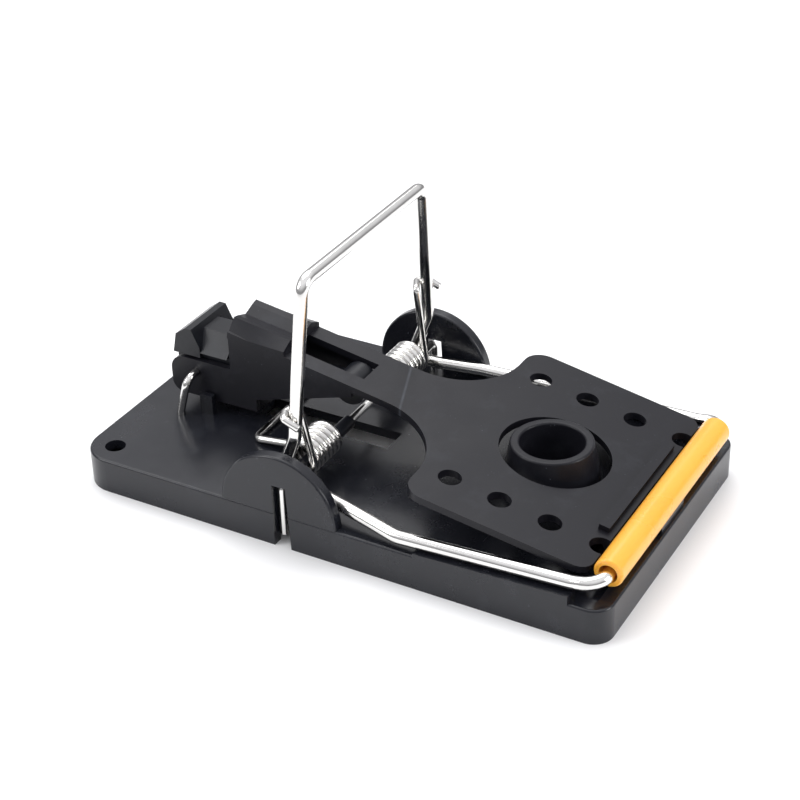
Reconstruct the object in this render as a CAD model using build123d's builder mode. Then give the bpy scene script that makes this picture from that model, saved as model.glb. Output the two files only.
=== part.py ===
from build123d import *
import os
from math import asin, atan2, cos, hypot, sin, sqrt

# Snap mouse trap: moulded base, pedal lever, catch, sprung wire striker with a grip sleeve.
#
# Frame: millimetres, +Z up, origin at the centre of the base's underside.
# +X points to the front, where the striker's sleeve comes down, and +Y to the far side.

# ---------------------------------------------------------------- driving dimensions
base_length = 140.0
base_width = 78.8
deck_top = 9.0
deck_thickness = 2.4
side_wall = 2.6
rear_corner_radius = 8.4
front_corner_radius = 5.0
edge_round = 0.6

running_clearance = 0.05
free_gap = 0.4

rear = -base_length / 2
front = base_length / 2
half_width = base_width / 2

# ears that carry the axle
ear_centre_x = rear + 58.0
ear_radius = 15.5
ear_thickness = 3.1
slot_width_top = 3.7
slot_width_bottom = 4.9
slot_rear_x = rear + 57.0 - 0.3

# axle rod
axle_radius = 1.0
axle_x = rear + 58.0
axle_z = 15.7
axle_tail_recess = 1.5
axle_tail_bottom = 2.4
axle_bend_radius = 1.8
axle_sleeve_radius = 1.7
mandrel_radius = 1.5
axle_sleeve_inner_y = 6.4
mandrel_overhang = 0.6

# striker: one bent wire
wire_radius = 1.6
loop_half_width = 27.5
loop_height = 64.3
loop_x = rear + 60.5
loop_corner_radius = 3.4
leg_foot_half_width = 32.0
leg_foot_x = rear + 59.1
leg_foot_z = 26.0
arm_knee_x = rear + 73.0
arm_knee_half_width = 34.3
arm_knee_z = 12.8
arm_dip_x = rear + 88.0
arm_dip_half_width = 37.3
arm_dip_z = 11.4
arm_end_x = rear + 130.6
arm_end_z = 12.9
arm_end_half_width = 36.5
bar_x = rear + 137.1
bar_z = 14.1
bar_half_width = 36.4
bar_corner_radius = 4.2
arm_bend_radius = 9.0
arm_end_bend_radius = 6.0
arm_start_run = 5.0
arm_start_rise = 0.1
arm_start_bend_radius = 5.0
leg_foot_bend_radius = 4.0
arm_slope = (arm_end_z - arm_dip_z) / (arm_end_x - arm_dip_x)

# grip sleeve on the striking bar
grip_radius = 3.45
grip_gap = 0.6
grip_bore_radius = wire_radius + grip_gap
grip_z = bar_z + grip_gap / 2
grip_half_length = 32.2

# double torsion spring: two coils joined by a bridge that lies on the deck
spring_wire_radius = 0.9
coil_bore_radius = 2.9
coil_mean_radius = coil_bore_radius + spring_wire_radius
coil_x = rear + 57.0
coil_z = 16.5
coil_inner_y = 15.6
coil_pitch = 2 * spring_wire_radius + 0.06
coil_turns = 6.25
coil_length = coil_turns * coil_pitch
sleeve_end_gap = spring_wire_radius + 0.3
bridge_x = rear + 36.5
bridge_bend_radius = 2.2
near_leg_height = 31.8
near_leg_x = rear + 57.4
far_leg_height = 36.0
far_leg_x = rear + 58.5
hook_reach = 2.2
hook_drop = 1.6
hook_bend_radius = 0.9
hook_gap = 0.15
hook_approach = 1.1
hook_corner = 0.6
leg_overrun = 0.6

# side rails under the striker's arms
rail_start_x = rear + 93.2
rail_end_x = rear + 131.0
rail_width = 4.2
rail_gap = 0.35

# pedal lever
pedal_slope = 0.1735
pedal_reference_x = rear + 94.68
pedal_reference_z = 21.2
plate_thickness = 1.8
plate_front_x = rear + 132.9
lip_step = 0.9
lip_front_x = rear + 135.4
lip_top_z = 10.5
lip_thickness = 1.1
trough_rear_x = rear + 127.0
trough_front_x = rear + 136.4
trough_half_width = 35.2
trough_depth = 1.6
front_tab_top = 10.8
front_tab_drop = 0.5
front_tab_half_width = 6.5
front_tab_front_x = rear + 139.2
plate_half_width_rear = 34.4
plate_half_width_front = 33.4
plate_corner_radius = 5.0
plate_front_corner_radius = 3.5
lip_half_width = plate_half_width_front - plate_front_corner_radius
beam_half_width = 8.3
beam_wall = 1.6
flare_radius = 18.2
flare_centre_x = rear + 69.8
hole_radius = 2.75
hole_count = 4
hole_pitch = 12.42
hole_first_x = rear + 94.68
hole_half_spread = 23.8
ridge_x = rear + 130.2
ridge_width = 2.6
ridge_half_length = 18.9
ridge_height = 1.3
beam_slot_half_width = 3.7
beam_slot_rear_x = rear + 38.0
beam_slot_front_x = rear + 61.0

head_rear_x = rear + 25.5
head_front_x = rear + 41.5
head_rise_rear = 2.6
head_rise = 2.9
head_shoulder_rear = 3.4
head_shoulder_front = 1.6
head_peak_y = 5.0
head_dish_half_width = 3.2
head_dish_depth = 1.6
head_roof = 2.7

cheek_rear_x = rear + 7.6
cheek_top = 22.6
cheek_bottom = 12.3
cheek_front_x = rear + 32.6
cheek_bottom_radius = 3.0
cheek_top_radius = 4.0
skirt_end_x = rear + 60.0
skirt_depth_front = 3.0
skirt_step = 3.5

# catch, and the wire staple that it turns on
pin_radius = 1.0
pin_x = rear + 15.2
pin_z = 19.3
pin_bend_half_width = 12.4
pin_foot_half_width = 13.2
pin_foot_x = rear + 13.0
pin_bend_radius = 3.0
catch_body_half_width = beam_half_width - beam_wall - free_gap
catch_cap_half_width = 7.8
catch_ridge_half_width = 3.2
catch_rear_x = rear + 8.6
catch_neck_x = rear + 12.2
catch_front_x = rear + 24.2
catch_floor = 14.2
catch_shoulder_z = 22.0
catch_lip_x = rear + 9.4
catch_lip_top = 28.5
catch_cap_rear_x = rear + 8.3
catch_cap_foot = 23.2
catch_cap_x = rear + 12.3
catch_cap_top = 30.6
catch_cap_flat = 1.8
catch_notch_x = rear + 16.3
catch_notch_z = 26.0
catch_ridge_top = 29.2
catch_flank_foot = 24.6
tail_half_width = 3.1
tail_thickness = 3.4
tail_centre_z = 22.4
nose_x = rear + 56.3
nose_z = 22.7
nose_radius = 4.3

# bait cup and the collar it sits in
cup_x = rear + 108.85
cup_rim_z = 21.45
cup_rim_radius = 9.8
cup_bore_radius = 7.65
cup_foot_radius = 11.4
cup_floor = 2.0
cup_foot_height = 4.0
cup_draft = 0.8
finger_slot_width = 4.0
cup_fit = 0.15
cup_flange_radius = 13.6
cup_flange_thickness = 1.6
cup_seat_radius = cup_foot_radius + cup_fit
cup_opening_radius = 13.2
cup_opening_x = rear + 109.7

# guide blocks beside the pedal's cheeks
guide_x = rear + 18.8
guide_length = 3.6
guide_thickness = 1.6
guide_height = 5.4

# window and nail holes in the deck
window_rear_x = rear + 30.0
window_front_x = rear + 66.8
window_half_width = 3.8
nail_radius = 2.55
nail_inset_x = 7.0
nail_half_spread = 32.8
rib_thickness = 1.6
rib_depth = 4.0
rib_places = (rear + 22.0, rear + 78.0)


def pedal_top(x):
    """Height of the pedal's tilted top surface at x."""
    return pedal_reference_z - pedal_slope * (x - pedal_reference_x)


def wire(points, radii, radius):
    """A round wire along straight runs joined by tangent arcs."""
    with BuildPart() as bent:
        with BuildLine() as path:
            FilletPolyline(*points, radius=radii)
        with BuildSketch(Plane(origin=path.line @ 0, z_dir=path.line % 0)):
            Circle(radius)
        sweep(path=path.line)
    return bent


def arm_height(x):
    """Height of the arm's centre line between its dip and the striking bar."""
    return arm_dip_z + arm_slope * (x - arm_dip_x)


os.makedirs("parts", exist_ok=True)
pieces = {}

# ---------------------------------------------------------------- base
inner_length = base_length - 2 * side_wall
inner_width = base_width - 2 * side_wall
trough_length = trough_front_x - trough_rear_x


def corner_outline(length, width, inset):
    """Rounded outline of the base, its corners larger at the rear than at the front."""
    with BuildSketch() as outline:
        Rectangle(length, width)
        fillet(outline.vertices().group_by(Axis.X)[0], rear_corner_radius - inset)
        fillet(outline.vertices().group_by(Axis.X)[-1], front_corner_radius - inset)
    return outline.sketch


def side_profile(offset):
    """Upright sketch plane across the object, at this distance to the near side."""
    return Plane.XZ.offset(offset)


with BuildPart() as base:
    with BuildSketch():
        add(corner_outline(base_length, base_width, 0))
    extrude(amount=deck_top)
    with BuildSketch():
        add(corner_outline(inner_length, inner_width, side_wall))
    extrude(amount=deck_top - deck_thickness, mode=Mode.SUBTRACT)
    rim = base.faces().sort_by(Axis.Z)[-1].outer_wire().edges()
    fillet(rim, edge_round)

    # stiffening ribs under the deck
    with BuildSketch(Plane.XY.offset(deck_top - deck_thickness - rib_depth)):
        for side in (-1, 1):
            with Locations((0, side * base_width / 4)):
                Rectangle(inner_length, rib_thickness)
        for rib_x in rib_places:
            with Locations((rib_x, 0)):
                Rectangle(rib_thickness, inner_width)
    extrude(amount=rib_depth)

    # ears: discs flush with the sides, which carry the axle
    with BuildSketch(side_profile(half_width)):
        with Locations((ear_centre_x, deck_top)):
            Circle(ear_radius)
        with Locations((ear_centre_x, deck_top - ear_radius)):
            Rectangle(2 * ear_radius, 2 * ear_radius, mode=Mode.SUBTRACT)
    ear = extrude(amount=-ear_thickness)
    mirror(ear, about=Plane.XZ)
    fillet(base.edges().filter_by(GeomType.CIRCLE).filter_by(
        lambda edge: abs(edge.radius - ear_radius) < edge_round / 10), edge_round)

    # rails that the striker's arms come down over
    with BuildSketch(side_profile(half_width)):
        with BuildLine():
            Polyline(
                (rail_start_x, deck_top - deck_thickness / 2),
                (rail_end_x, deck_top - deck_thickness / 2),
                (rail_end_x, arm_height(rail_end_x) - wire_radius - rail_gap),
                (rail_start_x, arm_height(rail_start_x) - wire_radius - rail_gap),
                close=True,
            )
        make_face()
    rail = extrude(amount=-rail_width)
    mirror(rail, about=Plane.XZ)

    # collar under the deck for the bait cup, and its bore
    with BuildSketch(Plane.XY.offset(cup_flange_thickness + running_clearance)):
        with Locations((cup_x, 0)):
            Circle(cup_flange_radius + side_wall)
    extrude(amount=deck_top - deck_thickness - cup_flange_thickness)
    with BuildSketch():
        with Locations((cup_x, 0)):
            Circle(cup_seat_radius)
    extrude(amount=2 * deck_top, mode=Mode.SUBTRACT)
    with BuildSketch():
        with Locations((cup_x, 0)):
            Circle(cup_flange_radius + cup_fit)
    extrude(amount=cup_flange_thickness + running_clearance, mode=Mode.SUBTRACT)

    # trough that the pedal's lip moves in, and the tab in front of it
    with BuildSketch(Plane.XY.offset(deck_top - trough_depth - deck_thickness)):
        with Locations(((trough_rear_x + trough_front_x) / 2, 0)):
            Rectangle(trough_length + 2 * deck_thickness, 2 * trough_half_width + 2 * deck_thickness)
    extrude(amount=trough_depth + deck_thickness / 2)
    with BuildSketch(Plane.XY.offset(deck_top - trough_depth)):
        with Locations(((trough_rear_x + trough_front_x) / 2, 0)):
            Rectangle(trough_length, 2 * trough_half_width)
    extrude(amount=2 * trough_depth, mode=Mode.SUBTRACT)
    with BuildSketch(side_profile(front_tab_half_width)):
        with BuildLine():
            Polyline(
                (trough_front_x, deck_top - deck_thickness / 2),
                (front_tab_front_x, deck_top - deck_thickness / 2),
                (front_tab_front_x, front_tab_top),
                (trough_front_x, front_tab_top - front_tab_drop),
                close=True,
            )
        make_face()
    extrude(amount=-2 * front_tab_half_width)

    # guide blocks beside the pedal's cheeks
    with BuildSketch(Plane.XY.offset(deck_top)):
        for side in (-1, 1):
            with Locations((guide_x, side * (beam_half_width + free_gap + guide_thickness / 2))):
                Rectangle(guide_length, guide_thickness)
    extrude(amount=guide_height)

    # window under the beam, nail holes, and holes for the staple's feet
    with BuildSketch():
        with Locations(((window_rear_x + window_front_x) / 2, 0)):
            Rectangle(window_front_x - window_rear_x, 2 * window_half_width)
        with Locations((rear + nail_inset_x, -nail_half_spread), (rear + nail_inset_x, nail_half_spread)):
            Circle(nail_radius)
        with Locations((pin_foot_x, -pin_foot_half_width), (pin_foot_x, pin_foot_half_width)):
            Circle(pin_radius + running_clearance)
    extrude(amount=2 * deck_top, mode=Mode.SUBTRACT)

    # slots in the ears, open at the bottom, that the axle is dropped into
    with BuildSketch(side_profile(half_width + axle_radius)):
        with BuildLine():
            Polyline(
                (slot_rear_x, -deck_top),
                (slot_rear_x + slot_width_bottom, -deck_top),
                (slot_rear_x + slot_width_top, axle_z + axle_radius),
                (slot_rear_x, axle_z + axle_radius),
                close=True,
            )
        make_face()
    slot = extrude(amount=-ear_thickness - 2 * axle_radius, mode=Mode.SUBTRACT)
    mirror(slot, about=Plane.XZ, mode=Mode.SUBTRACT)
pieces["base"] = base

# ---------------------------------------------------------------- bait cup
with BuildPart() as bait_cup:
    with BuildSketch(Plane.XZ):
        with BuildLine():
            Polyline(
                (cup_x, 0),
                (cup_x + cup_flange_radius, 0),
                (cup_x + cup_flange_radius, cup_flange_thickness),
                (cup_x + cup_foot_radius, cup_flange_thickness),
                (cup_x + cup_foot_radius, deck_top + cup_foot_height),
                (cup_x + cup_rim_radius, cup_rim_z),
                (cup_x + cup_bore_radius, cup_rim_z),
                (cup_x + cup_bore_radius - cup_draft, cup_floor),
                (cup_x, cup_floor),
                close=True,
            )
        make_face()
    revolve(axis=Axis((cup_x, 0, 0), (0, 0, 1)))
    rims = bait_cup.edges().filter_by(GeomType.CIRCLE).group_by(Axis.Z)[-1]
    fillet(rims, edge_round)
    with BuildSketch():
        with Locations((cup_x, 0)):
            Rectangle(cup_bore_radius, finger_slot_width)
    extrude(amount=cup_floor / 2, mode=Mode.SUBTRACT)
pieces["bait_cup"] = bait_cup

# ---------------------------------------------------------------- axle, its sleeves
axle_tail_y = half_width - axle_tail_recess - axle_radius
axle_points = [
    (axle_x, -axle_tail_y, axle_tail_bottom),
    (axle_x, -axle_tail_y, axle_z),
    (axle_x, axle_tail_y, axle_z),
    (axle_x, axle_tail_y, axle_tail_bottom),
]
pieces["axle_rod"] = wire(axle_points, axle_bend_radius, axle_radius)

for side, name in ((-1, "axle_sleeve_near"), (1, "axle_sleeve_far")):
    with BuildPart() as axle_sleeve:
        with BuildSketch(side_profile(-side * axle_sleeve_inner_y)):
            with Locations((axle_x, axle_z)):
                Circle(axle_sleeve_radius)
                Circle(axle_radius + running_clearance, mode=Mode.SUBTRACT)
        extrude(amount=-side * (coil_inner_y - sleeve_end_gap - axle_sleeve_inner_y))
        with BuildSketch(side_profile(-side * (coil_inner_y - sleeve_end_gap))):
            with Locations((axle_x, axle_z)):
                Circle(mandrel_radius)
                Circle(axle_radius + running_clearance, mode=Mode.SUBTRACT)
        extrude(amount=-side * (sleeve_end_gap + coil_length + mandrel_overhang))
    pieces[name] = axle_sleeve

# ---------------------------------------------------------------- striker wire
eye_radius = axle_radius + running_clearance + wire_radius


def tangent_below(point, centre, radius, side):
    """Direction from a point to the tangent of a circle, on the side asked for."""
    dx = centre[0] - point[0]
    dz = centre[1] - point[1]
    turn = side * asin(radius / hypot(dx, dz))
    angle = atan2(dz, dx) + turn
    return cos(angle), sin(angle)


def crossing(point_a, way_a, point_b, way_b):
    """Point where two lines cross, each given by a point and a direction."""
    determinant = way_a[0] * way_b[1] - way_a[1] * way_b[0]
    gap_x = point_b[0] - point_a[0]
    gap_z = point_b[1] - point_a[1]
    distance = (gap_x * way_b[1] - gap_z * way_b[0]) / determinant
    return point_a[0] + distance * way_a[0], point_a[1] + distance * way_a[1]


axle_centre = (axle_x, axle_z)
leg_foot = (leg_foot_x, leg_foot_z)
arm_start = (axle_x + arm_start_run, axle_z - eye_radius + arm_start_rise)
leg_way = tangent_below(leg_foot, axle_centre, eye_radius, -1)
arm_way = tangent_below(arm_start, axle_centre, eye_radius, 1)
eye_corner = crossing(leg_foot, leg_way, arm_start, arm_way)

near_half = [
    (bar_x, 0, bar_z),
    (bar_x, -bar_half_width, bar_z),
    (arm_end_x, -arm_end_half_width, arm_end_z),
    (arm_dip_x, -arm_dip_half_width, arm_dip_z),
    (arm_knee_x, -arm_knee_half_width, arm_knee_z),
    (arm_start[0], -leg_foot_half_width, arm_start[1]),
    (eye_corner[0], -leg_foot_half_width, eye_corner[1]),
    (leg_foot_x, -leg_foot_half_width, leg_foot_z),
    (loop_x, -loop_half_width, loop_height),
    (loop_x, 0, loop_height),
]
near_radii = [
    bar_corner_radius,
    arm_end_bend_radius,
    arm_bend_radius,
    arm_bend_radius,
    arm_start_bend_radius,
    eye_radius,
    leg_foot_bend_radius,
    loop_corner_radius,
]
near_wire = wire(near_half, near_radii, wire_radius)
with BuildPart() as striker:
    add(near_wire.part)
    mirror(near_wire.part, about=Plane.XZ)
pieces["striker"] = striker

with BuildPart() as grip_sleeve:
    with BuildSketch(side_profile(grip_half_length)):
        with Locations((bar_x, grip_z)):
            Circle(grip_radius)
            Circle(grip_bore_radius, mode=Mode.SUBTRACT)
    extrude(amount=-2 * grip_half_length)
    fillet(grip_sleeve.edges().filter_by(GeomType.CIRCLE).group_by(SortBy.RADIUS)[-1], edge_round)
pieces["grip_sleeve"] = grip_sleeve

# ---------------------------------------------------------------- double torsion spring
bridge_z = deck_top + spring_wire_radius + running_clearance
coil_outer_y = coil_inner_y + coil_length
hook_offset = wire_radius + spring_wire_radius + hook_gap


def moving_leg(top_x, top_z):
    """Leg that rises from the coil's outer end and hooks round the striker's upright."""
    share = (top_z - leg_foot_z) / (loop_height - leg_foot_z)
    post_x = leg_foot_x + share * (loop_x - leg_foot_x)
    post_y = leg_foot_half_width + share * (loop_half_width - leg_foot_half_width)
    points = [
        (coil_x + coil_mean_radius, coil_outer_y, coil_z),
        (top_x, coil_outer_y, top_z),
        (post_x - hook_approach * hook_offset, post_y, top_z),
        (post_x - hook_corner * hook_offset, post_y + hook_offset, top_z),
        (post_x + hook_reach, post_y + hook_offset, top_z - hook_drop),
    ]
    return wire(points, hook_bend_radius, spring_wire_radius)


fixed_leg = [
    (bridge_x, 0, bridge_z),
    (bridge_x, coil_inner_y, bridge_z),
    (coil_x + leg_overrun, coil_inner_y, coil_z - coil_mean_radius),
]
fixed_wire = wire(fixed_leg, bridge_bend_radius, spring_wire_radius)
coil_plane = Plane(origin=(coil_x, coil_inner_y, coil_z), x_dir=(0, 0, -1), z_dir=(0, 1, 0))
with BuildPart() as coil:
    with BuildLine() as turns:
        helix = Helix(coil_pitch, coil_length, coil_mean_radius, lefthand=True, mode=Mode.PRIVATE)
        add(coil_plane.location * helix)
    with BuildSketch(Plane(origin=turns.line @ 0, z_dir=turns.line % 0)):
        Circle(spring_wire_radius)
    sweep(path=turns.line, is_frenet=True)
with BuildPart() as torsion_spring:
    add(coil.part)
    add(fixed_wire.part)
    mirror(torsion_spring.part, about=Plane.XZ)
    add(moving_leg(far_leg_x, far_leg_height).part)
    near_leg = moving_leg(near_leg_x, near_leg_height)
    mirror(near_leg.part, about=Plane.XZ)
pieces["torsion_spring"] = torsion_spring

# ---------------------------------------------------------------- pedal lever
pedal_length_scale = sqrt(1 + pedal_slope**2)
pedal_plane = Plane(
    origin=(pedal_reference_x, 0, pedal_reference_z),
    x_dir=(1, 0, -pedal_slope),
    z_dir=(pedal_slope, 0, 1),
)


def along(x):
    """Distance along the tilted plate of a place whose level position is x."""
    return (x - pedal_reference_x) * pedal_length_scale


with BuildPart() as pedal:
    # plate with its flare into the beam
    with BuildSketch(pedal_plane) as outline:
        with BuildLine():
            Polyline(
                (along(flare_centre_x), 0),
                (along(flare_centre_x), -beam_half_width),
            )
            CenterArc(
                (along(flare_centre_x), -beam_half_width - flare_radius), flare_radius, 90, -90
            )
            Polyline(
                (along(flare_centre_x) + flare_radius, -beam_half_width - flare_radius),
                (along(flare_centre_x) + flare_radius, -plate_half_width_rear),
                (along(plate_front_x), -plate_half_width_front),
                (along(plate_front_x), 0),
                (along(flare_centre_x), 0),
            )
        make_face()
        mirror(about=Plane.XZ)
        rear_corners = [
            vertex
            for vertex in outline.vertices()
            if abs(abs(vertex.Y) - plate_half_width_rear) < edge_round / 10
        ]
        fillet(rear_corners, plate_corner_radius)
        fillet(outline.vertices().group_by(Axis.X)[-1], plate_front_corner_radius)
    extrude(amount=-plate_thickness)

    # beam's top, and the block over its rear end
    with BuildSketch(pedal_plane):
        with BuildLine():
            Polyline(
                (along(head_rear_x), -beam_half_width),
                (along(flare_centre_x), -beam_half_width),
                (along(flare_centre_x), beam_half_width),
                (along(head_rear_x), beam_half_width),
                close=True,
            )
        make_face()
    extrude(amount=-plate_thickness)
    head_ends = (
        (head_rear_x, head_rise_rear, head_shoulder_rear),
        (head_front_x, head_rise, head_shoulder_front),
    )
    for end_x, rise, shoulder in head_ends:
        top_z = pedal_top(end_x) + rise
        with BuildSketch(Plane.YZ.offset(end_x)):
            with BuildLine():
                Polyline(
                    (-beam_half_width, pedal_top(end_x) - plate_thickness),
                    (beam_half_width, pedal_top(end_x) - plate_thickness),
                    (beam_half_width, top_z - shoulder),
                    (head_peak_y, top_z),
                    (head_dish_half_width, top_z - head_dish_depth / 4),
                    (0, top_z - head_dish_depth),
                    (-head_dish_half_width, top_z - head_dish_depth / 4),
                    (-head_peak_y, top_z),
                    (-beam_half_width, top_z - shoulder),
                    close=True,
                )
            make_face()
    loft(ruled=True)

    # cheeks at the rear and skirts along the beam
    with BuildSketch(side_profile(beam_half_width)) as cheek_outline:
        with BuildLine():
            Polyline(
                (cheek_rear_x, cheek_bottom),
                (cheek_front_x, cheek_bottom),
                (cheek_front_x, cheek_bottom + skirt_step),
                (skirt_end_x, pedal_top(skirt_end_x) - skirt_depth_front),
                (skirt_end_x, pedal_top(skirt_end_x) - plate_thickness / 2),
                (head_rear_x, pedal_top(head_rear_x) - plate_thickness / 2),
                (head_rear_x, cheek_top),
                (cheek_rear_x, cheek_top),
                close=True,
            )
        make_face()
        fillet(cheek_outline.vertices().group_by(Axis.X)[0].sort_by(Axis.Y)[0], cheek_bottom_radius)
        fillet(cheek_outline.vertices().group_by(Axis.X)[0].sort_by(Axis.Y)[-1], cheek_top_radius)
    near_cheek = extrude(amount=-beam_wall)
    mirror(near_cheek, about=Plane.XZ)

    # ridge across the plate and the lip that turns down under the sleeve
    with BuildSketch(pedal_plane.offset(-plate_thickness / 2)):
        with Locations((along(ridge_x), 0)):
            Rectangle(ridge_width, 2 * ridge_half_length)
    extrude(amount=ridge_height + plate_thickness / 2)
    with BuildSketch(side_profile(lip_half_width)):
        with BuildLine():
            Polyline(
                (plate_front_x - plate_thickness, pedal_top(plate_front_x - plate_thickness)),
                (plate_front_x, pedal_top(plate_front_x)),
                (plate_front_x + lip_step / 2, lip_top_z + plate_thickness),
                (plate_front_x + 2 * lip_step, lip_top_z),
                (lip_front_x, lip_top_z),
                (lip_front_x, lip_top_z - lip_thickness),
                (plate_front_x, lip_top_z - lip_thickness),
                (plate_front_x - plate_thickness, pedal_top(plate_front_x) - plate_thickness),
                close=True,
            )
        make_face()
    extrude(amount=-2 * lip_half_width)

    # room for the catch: inside the head, and the slot that its nose shows in
    with BuildSketch(side_profile(beam_half_width - beam_wall)):
        with BuildLine():
            Polyline(
                (head_rear_x - plate_thickness, cheek_top - plate_thickness),
                (head_front_x - beam_wall, cheek_top - plate_thickness),
                (head_front_x - beam_wall, pedal_top(head_front_x) + head_rise - head_roof),
                (head_rear_x - plate_thickness, pedal_top(head_rear_x) + head_rise_rear - head_roof),
                close=True,
            )
        make_face()
    extrude(amount=-2 * (beam_half_width - beam_wall), mode=Mode.SUBTRACT)
    with BuildSketch(pedal_plane.offset(head_rise - head_roof)):
        with BuildLine():
            Polyline(
                (along(beam_slot_rear_x), -beam_slot_half_width),
                (along(beam_slot_front_x), -beam_slot_half_width),
                (along(beam_slot_front_x), beam_slot_half_width),
                (along(beam_slot_rear_x), beam_slot_half_width),
                close=True,
            )
        make_face()
    extrude(amount=-head_rise - 2 * plate_thickness, mode=Mode.SUBTRACT)
    with BuildSketch(pedal_plane.offset(free_gap)):
        with BuildLine():
            Polyline(
                (along(head_front_x) + free_gap, -beam_slot_half_width),
                (along(beam_slot_front_x), -beam_slot_half_width),
                (along(beam_slot_front_x), beam_slot_half_width),
                (along(head_front_x) + free_gap, beam_slot_half_width),
                close=True,
            )
        make_face()
    extrude(amount=-free_gap - 2 * plate_thickness, mode=Mode.SUBTRACT)

    # round holes, and the large opening round the bait cup
    with BuildSketch(Plane.XY.offset(pedal_top(head_rear_x))):
        for side in (-1, 1):
            for step in range(hole_count):
                with Locations((hole_first_x + step * hole_pitch, side * hole_half_spread)):
                    Circle(hole_radius)
        with Locations((cup_opening_x, 0)):
            Circle(cup_opening_radius)
    extrude(amount=-pedal_top(head_rear_x), mode=Mode.SUBTRACT)

    # bore for the staple
    with BuildSketch(side_profile(beam_half_width + free_gap)):
        with Locations((pin_x, pin_z)):
            Circle(pin_radius + running_clearance)
    extrude(amount=-2 * (beam_half_width + free_gap), mode=Mode.SUBTRACT)
pieces["pedal"] = pedal

# ---------------------------------------------------------------- catch and its staple
with BuildPart() as catch:
    # body between the cheeks
    with BuildSketch(side_profile(catch_body_half_width)):
        with BuildLine():
            Polyline(
                (catch_rear_x, catch_floor),
                (catch_front_x, catch_floor),
                (catch_front_x, catch_notch_z),
                (catch_neck_x, catch_notch_z),
                (catch_neck_x, catch_shoulder_z),
                (catch_rear_x, catch_shoulder_z),
                close=True,
            )
        make_face()
    extrude(amount=-2 * catch_body_half_width)

    # ridge along the middle with sloping flanks
    with BuildSketch(Plane.YZ.offset(catch_cap_x)):
        with BuildLine():
            Polyline(
                (-catch_cap_half_width, catch_flank_foot),
                (catch_cap_half_width, catch_flank_foot),
                (catch_ridge_half_width, catch_ridge_top),
                (-catch_ridge_half_width, catch_ridge_top),
                close=True,
            )
        make_face()
    extrude(amount=catch_front_x - catch_cap_x)

    # cap with a bevelled top edge, over the cheeks' rear ends
    with BuildSketch(side_profile(catch_cap_half_width)):
        with BuildLine():
            Polyline(
                (catch_cap_rear_x, catch_cap_foot),
                (catch_lip_x, catch_lip_top),
                (catch_cap_x, catch_cap_top),
                (catch_cap_x + catch_cap_flat, catch_cap_top),
                (catch_notch_x, catch_notch_z),
                (catch_notch_x, catch_cap_foot),
                close=True,
            )
        make_face()
    extrude(amount=-2 * catch_cap_half_width)

    # tail under the beam, with a round nose in the beam's slot
    with BuildSketch(side_profile(tail_half_width)):
        with BuildLine():
            Polyline(
                (catch_front_x - tail_thickness, tail_centre_z - tail_thickness / 2),
                (nose_x, tail_centre_z - tail_thickness / 2),
                (nose_x, tail_centre_z + tail_thickness / 2),
                (catch_front_x - tail_thickness, tail_centre_z + tail_thickness / 2),
                close=True,
            )
        make_face()
        with Locations((nose_x, nose_z)):
            Circle(nose_radius)
    extrude(amount=-2 * tail_half_width)
    with BuildSketch(side_profile(catch_cap_half_width)):
        with Locations((pin_x, pin_z)):
            Circle(pin_radius + running_clearance)
    extrude(amount=-2 * catch_cap_half_width, mode=Mode.SUBTRACT)
pieces["catch"] = catch

pin_points = [
    (pin_foot_x, -pin_foot_half_width, deck_top - deck_thickness),
    (pin_foot_x, -pin_foot_half_width, deck_top + pin_radius),
    (pin_x, -pin_bend_half_width, pin_z),
    (pin_x, pin_bend_half_width, pin_z),
    (pin_foot_x, pin_foot_half_width, deck_top + pin_radius),
    (pin_foot_x, pin_foot_half_width, deck_top - deck_thickness),
]
pin_radii = [pin_radius, pin_bend_radius, pin_bend_radius, pin_radius]
pieces["catch_staple"] = wire(pin_points, pin_radii, pin_radius)

# ---------------------------------------------------------------- write the pieces
for name, piece in pieces.items():
    piece.part.label = name
    export_step(piece.part, f"parts/{name}.step")
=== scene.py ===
import math

import bpy
from mathutils import Euler, Matrix, Vector


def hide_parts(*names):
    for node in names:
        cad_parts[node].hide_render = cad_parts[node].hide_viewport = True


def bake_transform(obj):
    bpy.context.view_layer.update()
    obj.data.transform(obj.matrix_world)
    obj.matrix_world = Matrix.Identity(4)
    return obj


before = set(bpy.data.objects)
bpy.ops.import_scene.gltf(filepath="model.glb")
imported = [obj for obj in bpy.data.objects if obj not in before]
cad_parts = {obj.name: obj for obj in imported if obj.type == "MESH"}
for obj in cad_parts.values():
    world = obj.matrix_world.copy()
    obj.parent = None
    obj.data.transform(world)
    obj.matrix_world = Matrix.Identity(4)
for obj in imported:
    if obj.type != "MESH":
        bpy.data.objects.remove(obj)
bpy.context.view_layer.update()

# Looks of the snap mouse trap: materials, the double torsion spring, light, floor and camera.
MM = 0.001


# ---------------------------------------------------------------- camera
def make_camera():
    """A long lens from the near front, a little under half a metre away, rolled very slightly."""
    azimuth = math.radians(29.89)
    elevation = math.radians(31.59)
    roll = math.radians(-1.563)
    target = Vector((-2.4, 1.8, 20.0)) * MM
    distance = 449.3 * MM
    data = bpy.data.cameras.new("camera")
    data.lens = 83.86
    data.sensor_width = 36.0
    data.clip_start = 0.01
    data.clip_end = 20.0
    camera = bpy.data.objects.new("camera", data)
    bpy.context.collection.objects.link(camera)
    turn = Euler((math.pi / 2 - elevation, 0, azimuth)).to_matrix() @ Matrix.Rotation(roll, 3, "Z")
    camera.matrix_world = Matrix.Translation(target + turn @ Vector((0, 0, distance))) @ turn.to_4x4()
    bpy.context.scene.camera = camera


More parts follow.
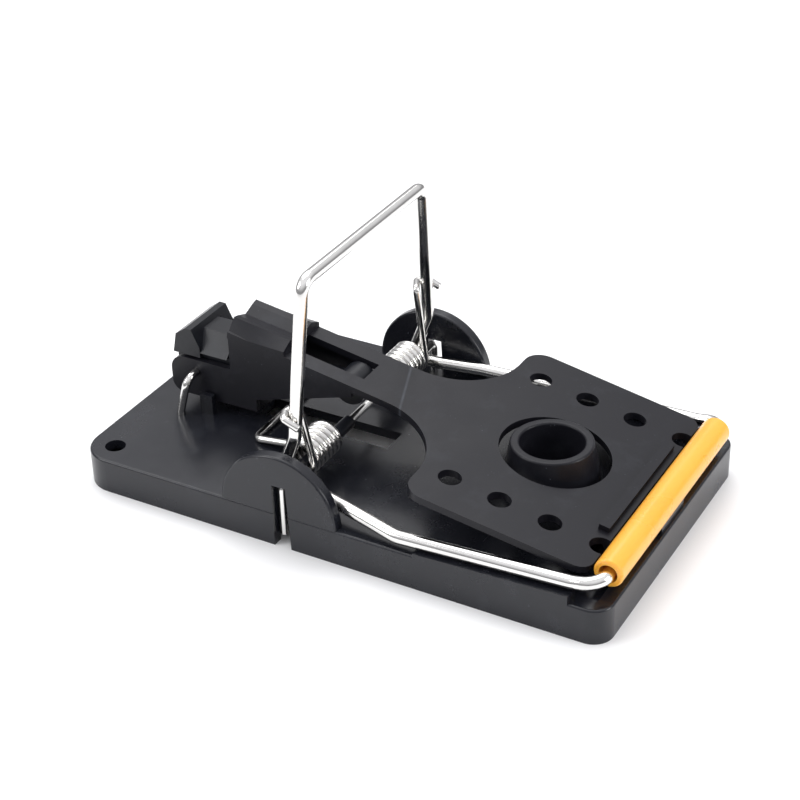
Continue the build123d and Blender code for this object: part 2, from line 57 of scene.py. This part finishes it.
# ---------------------------------------------------------------- material helpers
class Nodes:
    """Short names for adding and linking the nodes of one material."""

    def __init__(self, name):
        self.material = bpy.data.materials.new(name)
        self.material.use_nodes = True
        self.tree = self.material.node_tree
        self.shader = self.tree.nodes["Principled BSDF"]
        self.place = self.add("ShaderNodeTexCoord").outputs["Object"]

    def add(self, kind, **settings):
        node = self.tree.nodes.new(kind)
        for key, value in settings.items():
            setattr(node, key, value)
        return node

    def link(self, source, target):
        self.tree.links.new(source, target)

    def fix(self, **values):
        """Constant values on the shader's own sockets."""
        for key, value in values.items():
            self.shader.inputs[key.replace("_", " ")].default_value = value

    def stretched(self, scale):
        """Object coordinates, stretched."""
        mapping = self.add("ShaderNodeMapping")
        mapping.inputs["Scale"].default_value = scale
        self.link(self.place, mapping.inputs["Vector"])
        return mapping.outputs["Vector"]

    def noise(self, scale, detail=4.0, rough=0.5, vector=None):
        node = self.add("ShaderNodeTexNoise")
        node.inputs["Scale"].default_value = scale
        node.inputs["Detail"].default_value = detail
        node.inputs["Roughness"].default_value = rough
        self.link(vector or self.place, node.inputs["Vector"])
        return node.outputs["Fac"]

    def cells(self, scale, vector=None):
        node = self.add("ShaderNodeTexVoronoi")
        node.inputs["Scale"].default_value = scale
        self.link(vector or self.place, node.inputs["Vector"])
        return node.outputs["Distance"]

    def remap(self, value, low, high, new_low=0.0, new_high=1.0):
        node = self.add("ShaderNodeMapRange")
        self.link(value, node.inputs["Value"])
        limits = {"From Min": low, "From Max": high, "To Min": new_low, "To Max": new_high}
        for key, limit in limits.items():
            node.inputs[key].default_value = limit
        return node.outputs["Result"]

    def maths(self, operation, first, second):
        node = self.add("ShaderNodeMath", operation=operation)
        for socket, value in zip(node.inputs, (first, second)):
            if isinstance(value, (int, float)):
                socket.default_value = value
            else:
                self.link(value, socket)
        return node.outputs["Value"]

    def mix(self, factor, first, second):
        node = self.add("ShaderNodeMix", data_type="RGBA")
        self.link(factor, node.inputs["Factor"])
        for socket, colour in ((node.inputs["A"], first), (node.inputs["B"], second)):
            if isinstance(colour, tuple):
                socket.default_value = (*colour, 1.0)
            else:
                self.link(colour, socket)
        return node.outputs["Result"]

    def bump(self, height, strength, distance, normal=None):
        node = self.add("ShaderNodeBump")
        node.inputs["Strength"].default_value = strength
        node.inputs["Distance"].default_value = distance
        self.link(height, node.inputs["Height"])
        if normal:
            self.link(normal, node.inputs["Normal"])
        return node.outputs["Normal"]


# pale line mixed into the pedal's colour across its beam: the line's normal in plan, its place and its
# half widths
PALE_LINE_NORMAL_X = 0.941
PALE_LINE_NORMAL_Y = 0.339
PALE_LINE_OFFSET = 0.32 * MM
PALE_LINE_CORE = 0.05 * MM
PALE_LINE_EDGE = 0.42 * MM
PALE_LINE_STRENGTH = 0.24

DUST = 0.5
DARKER_CLOUD = 0.72
HAIR_PALENESS = 0.35
PALE_ROUGHNESS = 0.35
PIT_DARKNESS = 0.35
SMUDGE_DULLNESS = 0.82


def pale_line_strength(n):
    """How strongly each point shows the pale line across the pedal's beam."""
    split = n.add("ShaderNodeSeparateXYZ")
    n.link(n.place, split.inputs["Vector"])
    along_x = n.maths("MULTIPLY", split.outputs["X"], PALE_LINE_NORMAL_X)
    along_y = n.maths("MULTIPLY", split.outputs["Y"], PALE_LINE_NORMAL_Y)
    offset = n.maths("SUBTRACT", n.maths("ADD", along_x, along_y), PALE_LINE_OFFSET)
    distance = n.maths("ABSOLUTE", offset, 0.0)
    line = n.remap(distance, PALE_LINE_CORE, PALE_LINE_EDGE, new_low=PALE_LINE_STRENGTH, new_high=0.0)
    broken = n.remap(n.noise(400.0, detail=3.0), 0.3, 0.7, new_low=0.5, new_high=1.0)
    return n.maths("MULTIPLY", line, broken)


def moulded_plastic(
    name, colour, dust_colour, gloss_low, gloss_high, scratches=0.5, shine=0.36, pale_line_on=False
):
    """Black moulded plastic: cloudy gloss, fine grain, hair scratches and a little pale dust."""
    n = Nodes(name)
    cloud = n.noise(60.0, detail=5.0, rough=0.6)
    grain = n.noise(4200.0, detail=2.0, rough=0.5)
    along = n.cells(260.0, n.stretched((0.05, 1.4, 1.0)))
    across = n.cells(210.0, n.stretched((1.2, 0.06, 0.9)))
    hairs = n.maths("MINIMUM", along, across)
    hair = n.remap(hairs, 0.012, 0.03, new_low=1.0, new_high=0.0)
    patchy = n.remap(n.noise(45.0, detail=3.0), 0.5, 0.68)
    hair = n.maths("MULTIPLY", n.maths("MULTIPLY", hair, patchy), scratches)
    speck = n.remap(n.cells(900.0), 0.05, 0.14, new_low=1.0, new_high=0.0)
    speck = n.maths("MULTIPLY", speck, n.remap(n.noise(240.0, detail=2.0), 0.6, 0.72))
    film = n.remap(n.noise(95.0, detail=6.0, rough=0.7), 0.52, 0.9, new_low=0.0, new_high=0.16)
    pale = n.maths("MAXIMUM", n.maths("MULTIPLY", speck, DUST), n.maths("MULTIPLY", film, DUST))
    pale = n.maths("MAXIMUM", pale, n.maths("MULTIPLY", hair, HAIR_PALENESS))
    # a thin pale line across the pedal's beam, drawn into the colour with the dust grey
    if pale_line_on:
        pale = n.maths("MAXIMUM", pale, pale_line_strength(n))
    darker = tuple(part * DARKER_CLOUD for part in colour)
    n.link(n.mix(pale, n.mix(cloud, darker, colour), dust_colour), n.shader.inputs["Base Color"])
    rough = n.remap(cloud, 0.3, 0.7, gloss_low, gloss_high)
    rough = n.maths("ADD", rough, n.maths("MULTIPLY", pale, PALE_ROUGHNESS))
    n.link(rough, n.shader.inputs["Roughness"])
    fine = n.bump(grain, strength=0.08, distance=0.05 * MM)
    worn = n.bump(hair, strength=0.25, distance=-0.02 * MM, normal=fine)
    waves = n.bump(n.noise(150.0, detail=2.0), strength=0.1, distance=0.15 * MM, normal=worn)
    n.link(waves, n.shader.inputs["Normal"])
    n.fix(Specular_IOR_Level=shine, IOR=1.5)
    return n.material


def bright_wire(name, colour, gloss_low, gloss_high):
    """Plated wire: bright metal with a faint grain, smudges and small dark pits."""
    n = Nodes(name)
    marks = n.noise(900.0, detail=3.0, rough=0.6)
    smudge = n.noise(70.0, detail=4.0, rough=0.6)
    pits = n.remap(n.cells(1500.0), 0.04, 0.1, new_low=1.0, new_high=0.0)
    pits = n.maths("MULTIPLY", pits, n.remap(n.noise(300.0, detail=2.0), 0.58, 0.7))
    dark = tuple(part * PIT_DARKNESS for part in colour)
    dull = tuple(part * SMUDGE_DULLNESS for part in colour)
    clean = n.mix(n.remap(smudge, 0.45, 0.75), colour, dull)
    n.link(n.mix(n.maths("MULTIPLY", pits, 0.7), clean, dark), n.shader.inputs["Base Color"])
    rough = n.remap(smudge, 0.35, 0.7, gloss_low, gloss_high)
    n.link(n.maths("ADD", rough, n.maths("MULTIPLY", pits, 0.3)), n.shader.inputs["Roughness"])
    n.link(n.bump(marks, strength=0.06, distance=0.03 * MM), n.shader.inputs["Normal"])
    n.fix(Metallic=1.0)
    return n.material


def yellow_tube(name):
    """Soft yellow tube: glossy, slightly translucent, with faint scuffs and flow lines along it."""
    n = Nodes(name)
    cloud = n.noise(55.0, detail=4.0, rough=0.55)
    flow = n.noise(500.0, detail=3.0, rough=0.5, vector=n.stretched((1.0, 0.05, 1.0)))
    scuff = n.noise(700.0, detail=4.0, rough=0.6, vector=n.stretched((1.0, 0.25, 1.0)))
    scuff = n.remap(scuff, 0.64, 0.74)
    deep_yellow = (0.90, 0.40, 0.035)
    light_yellow = (0.94, 0.47, 0.06)
    scuffed_yellow = (0.75, 0.36, 0.04)
    base = n.mix(cloud, deep_yellow, light_yellow)
    n.link(n.mix(n.maths("MULTIPLY", scuff, 0.25), base, scuffed_yellow), n.shader.inputs["Base Color"])
    rough = n.remap(cloud, 0.3, 0.7, new_low=0.24, new_high=0.34)
    n.link(n.maths("ADD", rough, n.maths("MULTIPLY", scuff, 0.2)), n.shader.inputs["Roughness"])
    n.link(n.bump(flow, strength=0.08, distance=0.06 * MM), n.shader.inputs["Normal"])
    n.fix(Subsurface_Weight=0.25, Subsurface_Scale=1.5 * MM, Coat_Weight=0.25, Coat_Roughness=0.15)
    n.shader.inputs["Subsurface Radius"].default_value = (1.0, 0.6, 0.2)
    return n.material


def give(material, *names):
    """A node's object gets this material in every slot."""
    for name in names:
        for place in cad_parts[name].material_slots:
            place.material = material


# ---------------------------------------------------------------- double torsion spring
SPRING_WIRE = 0.9 * MM
COIL_RADIUS = 3.8 * MM
COIL_CENTRE = Vector((-13.0, 0.0, 16.5)) * MM
COIL_INNER = 15.6 * MM
COIL_TURNS = 6.25
COIL_PITCH = 1.86 * MM
COIL_OUTER = COIL_INNER + COIL_TURNS * COIL_PITCH
BRIDGE = Vector((-33.5, 0.0, 9.95)) * MM
BRIDGE_BEND = 2.2 * MM

# hooks round the striker's uprights
UPRIGHT_FOOT = Vector((-10.9, 32.0, 26.0)) * MM
UPRIGHT_TOP = Vector((-9.5, 27.5, 64.3)) * MM
HOOK_OFFSET = 2.65 * MM
HOOK_APPROACH = 1.1 * HOOK_OFFSET
HOOK_CORNER = 0.6 * HOOK_OFFSET
HOOK_REACH = 2.2 * MM
HOOK_DROP = 1.6 * MM
HOOK_BEND = 0.9 * MM
NEAR_LEG_X = -12.6 * MM
NEAR_LEG_HEIGHT = 31.8 * MM
FAR_LEG_X = -11.5 * MM
FAR_LEG_HEIGHT = 36.0 * MM

STEPS_PER_TURN = 28
STEPS_PER_BEND = 7
TUBE_SIDES = 14
LONGEST_BEND = 0.45
END_LIP = 0.25
END_TAPER = 0.72


def rounded(points, radius):
    """A line through the points with each corner rounded to this radius."""
    line = [points[0]]
    for before, corner, after in zip(points, points[1:], points[2:]):
        back, ahead = (before - corner).normalized(), (after - corner).normalized()
        half = back.angle(ahead) / 2
        shorter = min((before - corner).length, (after - corner).length)
        reach = min(radius / math.tan(half), LONGEST_BEND * shorter)
        start, end = corner + back * reach, corner + ahead * reach
        centre = corner + (back + ahead).normalized() * (reach / math.cos(half))
        arm = (start - centre).length
        first_spoke = (start - centre).normalized()
        last_spoke = (end - centre).normalized()
        for step in range(STEPS_PER_BEND + 1):
            spoke = first_spoke.slerp(last_spoke, step / STEPS_PER_BEND)
            line.append(centre + spoke.normalized() * arm)
    return line + [points[-1]]


def tube(name, line, radius):
    """A round tube along a line, its ends slightly rounded."""
    rings, normal = [], None
    for index, point in enumerate(line):
        ahead = (line[min(index + 1, len(line) - 1)] - line[max(index - 1, 0)]).normalized()
        normal = ahead.orthogonal() if normal is None else normal - ahead * normal.dot(ahead)
        normal.normalize()
        rings.append((point, normal.copy(), ahead.cross(normal), ahead, 1.0))
    first, last = rings[0], rings[-1]
    lip = END_LIP * radius
    rings.insert(0, (first[0] - first[3] * lip, *first[1:4], END_TAPER))
    rings.append((last[0] + last[3] * lip, *last[1:4], END_TAPER))
    verts, faces = [], []
    for centre, one, two, _, share in rings:
        for side in range(TUBE_SIDES):
            angle = math.tau * side / TUBE_SIDES
            verts.append(centre + (one * math.cos(angle) + two * math.sin(angle)) * radius * share)
    for ring in range(len(rings) - 1):
        for side in range(TUBE_SIDES):
            here, beside = ring * TUBE_SIDES + side, ring * TUBE_SIDES + (side + 1) % TUBE_SIDES
            faces.append((here, beside, beside + TUBE_SIDES, here + TUBE_SIDES))
    faces.append(tuple(reversed(range(TUBE_SIDES))))
    faces.append(tuple(range(len(verts) - TUBE_SIDES, len(verts))))
    mesh = bpy.data.meshes.new(name)
    mesh.from_pydata(verts, [], faces)
    mesh.polygons.foreach_set("use_smooth", [True] * len(mesh.polygons))
    mesh.update()
    piece = bpy.data.objects.new(name, mesh)
    bpy.context.collection.objects.link(piece)
    return piece


def spring_half(name, side, leg_top, hook):
    """Half of the bridge, one coil and the leg that hooks round the striker's upright."""
    coil_foot = COIL_CENTRE + Vector((0, COIL_INNER, -COIL_RADIUS))
    line = rounded([BRIDGE, BRIDGE + Vector((0, COIL_INNER, 0)), coil_foot], BRIDGE_BEND)
    for step in range(1, round(COIL_TURNS * STEPS_PER_TURN)):
        angle = math.tau * step / STEPS_PER_TURN
        along = COIL_INNER + COIL_PITCH * step / STEPS_PER_TURN
        around = Vector((math.sin(angle) * COIL_RADIUS, along, -math.cos(angle) * COIL_RADIUS))
        line.append(COIL_CENTRE + around)
    leave = COIL_CENTRE + Vector((COIL_RADIUS, COIL_OUTER, 0))
    line += rounded([leave, leg_top, *hook], HOOK_BEND)
    line = [Vector((point.x, side * point.y, point.z)) for point in line]
    piece = tube(name, line, SPRING_WIRE)
    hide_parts("torsion_spring")
    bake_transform(piece)
    return piece


def make_spring(material):
    """The two halves; the near leg lies lower along its upright than the far one."""
    halves = (
        ("spring_near", -1, NEAR_LEG_X, NEAR_LEG_HEIGHT),
        ("spring_far", 1, FAR_LEG_X, FAR_LEG_HEIGHT),
    )
    for name, side, top_x, height in halves:
        share = (height - UPRIGHT_FOOT.z) / (UPRIGHT_TOP.z - UPRIGHT_FOOT.z)
        post = UPRIGHT_FOOT.lerp(UPRIGHT_TOP, share)
        hook = [
            Vector((post.x - HOOK_APPROACH, post.y, height)),
            Vector((post.x - HOOK_CORNER, post.y + HOOK_OFFSET, height)),
            Vector((post.x + HOOK_REACH, post.y + HOOK_OFFSET, height - HOOK_DROP)),
        ]
        piece = spring_half(name, side, Vector((top_x, COIL_OUTER, height)), hook)
        piece.data.materials.append(material)


# ---------------------------------------------------------------- floor and light
def make_stage():
    """White floor, a sky that is darker towards the horizon, and three soft boxes."""
    bpy.ops.mesh.primitive_plane_add(size=6.0, location=(0, 0, 0))
    floor = bpy.context.active_object
    floor.name = "floor"
    n = Nodes("white_floor")
    tone = n.mix(n.noise(30.0, 3.0), (0.93, 0.93, 0.93), (0.95, 0.95, 0.95))
    n.link(tone, n.shader.inputs["Base Color"])
    n.fix(Roughness=0.6)
    floor.data.materials.append(n.material)

    world = bpy.data.worlds.new("world")
    world.use_nodes = True
    nodes, links = world.node_tree.nodes, world.node_tree.links
    background = nodes["Background"]
    place = nodes.new("ShaderNodeTexCoord")
    split = nodes.new("ShaderNodeSeparateXYZ")
    ramp = nodes.new("ShaderNodeValToRGB")
    links.new(place.outputs["Generated"], split.inputs["Vector"])
    links.new(split.outputs["Z"], ramp.inputs["Fac"])
    links.new(ramp.outputs["Color"], background.inputs["Color"])
    tones = ((0.0, 0.30), (0.22, 0.34), (0.45, 0.7), (0.75, 1.0))
    blue_tint = 1.03
    ready_made_stops = 2
    for index, (height, tone) in enumerate(tones):
        if index < ready_made_stops:
            stop = ramp.color_ramp.elements[index]
        else:
            stop = ramp.color_ramp.elements.new(height)
        stop.position = height
        stop.color = (tone, tone, tone * blue_tint, 1.0)
    background.inputs["Strength"].default_value = 1.0
    bpy.context.scene.world = world
    bpy.context.scene.view_settings.view_transform = "Standard"

    lamps = {
        "key_over": ((-0.5, 0.5, 1.5), 1.6, 17.0),
        "fill_front_left": ((-1.1, -0.9, 0.9), 0.7, 8.0),
        "rim_right": ((1.2, 0.2, 0.5), 0.5, 6.0),
    }
    for name, (spot, size, watts) in lamps.items():
        data = bpy.data.lights.new(name, "AREA")
        data.shape = "SQUARE"
        data.size = size
        data.energy = watts
        lamp = bpy.data.objects.new(name, data)
        lamp.location = spot
        lamp.rotation_euler = (-Vector(spot)).to_track_quat("-Z", "Y").to_euler()
        bpy.context.collection.objects.link(lamp)


make_camera()
make_stage()
dust_grey = (0.19, 0.21, 0.25)
catch_black = moulded_plastic("catch_black", (0.009, 0.010, 0.014), dust_grey, 0.26, 0.38)
spring_steel = bright_wire("spring_steel", (0.74, 0.73, 0.71), 0.1, 0.24)
base_black = moulded_plastic(
    "base_black", (0.011, 0.012, 0.017), dust_grey, 0.20, 0.30, scratches=0.8, shine=0.44
)
pedal_black = moulded_plastic(
    "pedal_black", (0.010, 0.010, 0.014), dust_grey, 0.30, 0.42, shine=0.25, pale_line_on=True
)
give(base_black, "base")
give(pedal_black, "pedal", "bait_cup")
give(catch_black, "catch", "axle_sleeve_near", "axle_sleeve_far")
give(bright_wire("striker_wire", (0.80, 0.79, 0.77), 0.08, 0.2), "striker", "axle_rod")
give(spring_steel, "catch_staple", "torsion_spring")
give(yellow_tube("yellow_sleeve"), "grip_sleeve")
make_spring(spring_steel)
